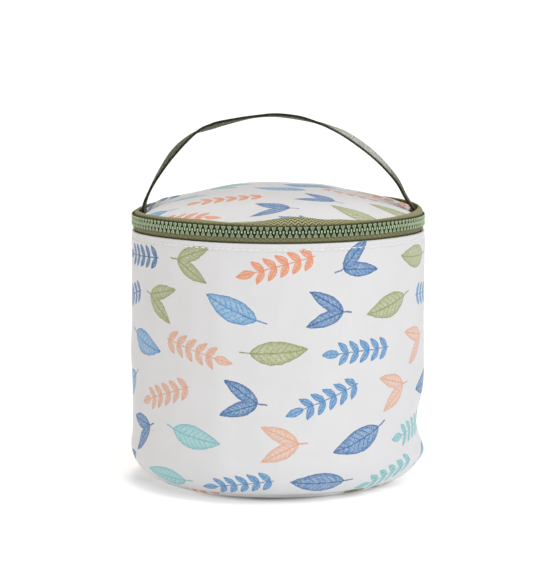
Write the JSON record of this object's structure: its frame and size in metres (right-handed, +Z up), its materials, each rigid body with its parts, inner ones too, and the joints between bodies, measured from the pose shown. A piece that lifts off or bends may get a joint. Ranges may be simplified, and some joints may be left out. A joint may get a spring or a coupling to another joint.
{
  "type": "snack bag",
  "caption": "Round soft snack bag: printed cloth wall on a turned-up base, domed lid closed by a moulded zip round the rim, and a webbing handle arching over the lid.",
  "frame": {"origin": "on the surface it stands on, under the middle of the base", "axes": "+Z up along the bag, -Y the front seen in the picture, +X the viewer's right, along which the handle arches"},
  "size_m": [0.1608, 0.1606, 0.2009],
  "materials": {
    "printed_cloth": "off-white coated cloth with a scattered colour print",
    "zip_tape": "olive woven tape",
    "zip_teeth": "muted green moulded plastic",
    "webbing": "dark olive flat webbing"
  },
  "bodies": {
    "root": {"side_wall": "printed_cloth", "base_panel": "printed_cloth", "lid_panel": "printed_cloth", "lower_zip_tape": "zip_tape", "upper_zip_tape": "zip_tape", "back_hinge": "zip_tape", "lower_zip_teeth": "zip_teeth", "upper_zip_teeth": "zip_teeth", "zip_slider": "zip_teeth", "handle_strap": "webbing"}
  },
  "joints": []
}
